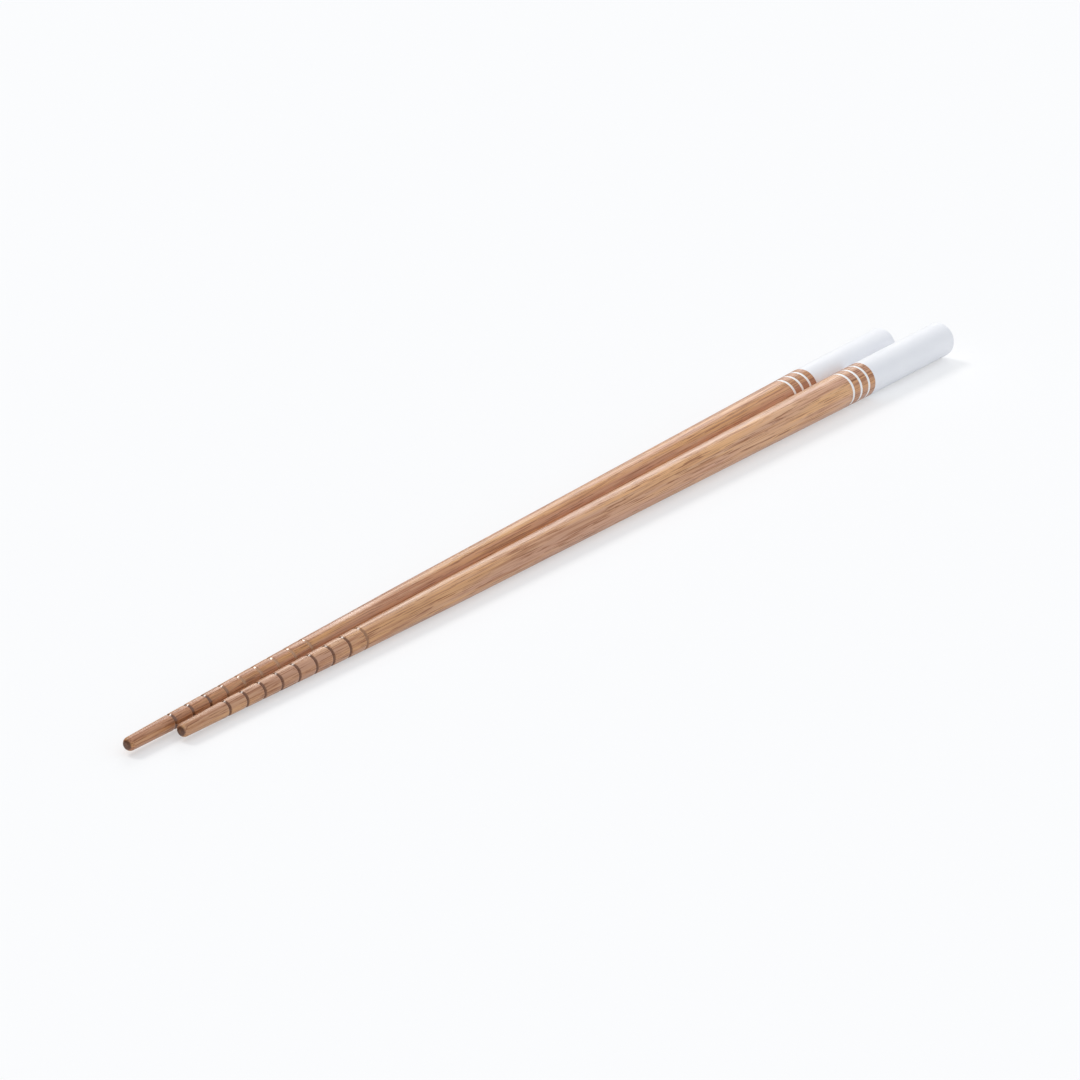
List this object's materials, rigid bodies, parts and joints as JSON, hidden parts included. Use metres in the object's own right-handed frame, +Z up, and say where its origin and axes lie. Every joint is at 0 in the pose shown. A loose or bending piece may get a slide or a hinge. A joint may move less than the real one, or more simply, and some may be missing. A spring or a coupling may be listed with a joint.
{
  "type": "pair of bamboo chopsticks",
  "caption": "Pair of round tapered bamboo chopsticks with grip grooves at the thin ends and white lacquered butts with thin ring lines, lying side by side.",
  "frame": {"origin": "on the table, under the middle of the pair's box", "axes": "+X along the sticks towards the white ends, +Y from the front stick to the rear one, +Z up"},
  "size_m": [0.2496, 0.0149, 0.0072],
  "materials": {
    "bamboo": "smooth carbonised bamboo with a satin oil finish",
    "white_lacquer": "satin white lacquer"
  },
  "bodies": {
    "root": {"front_stick": "bamboo", "front_white_end": "white_lacquer", "front_ring_1": "white_lacquer", "front_ring_2": "white_lacquer", "front_ring_3": "white_lacquer", "rear_stick": "bamboo", "rear_white_end": "white_lacquer", "rear_ring_1": "white_lacquer", "rear_ring_2": "white_lacquer", "rear_ring_3": "white_lacquer"}
  },
  "joints": []
}
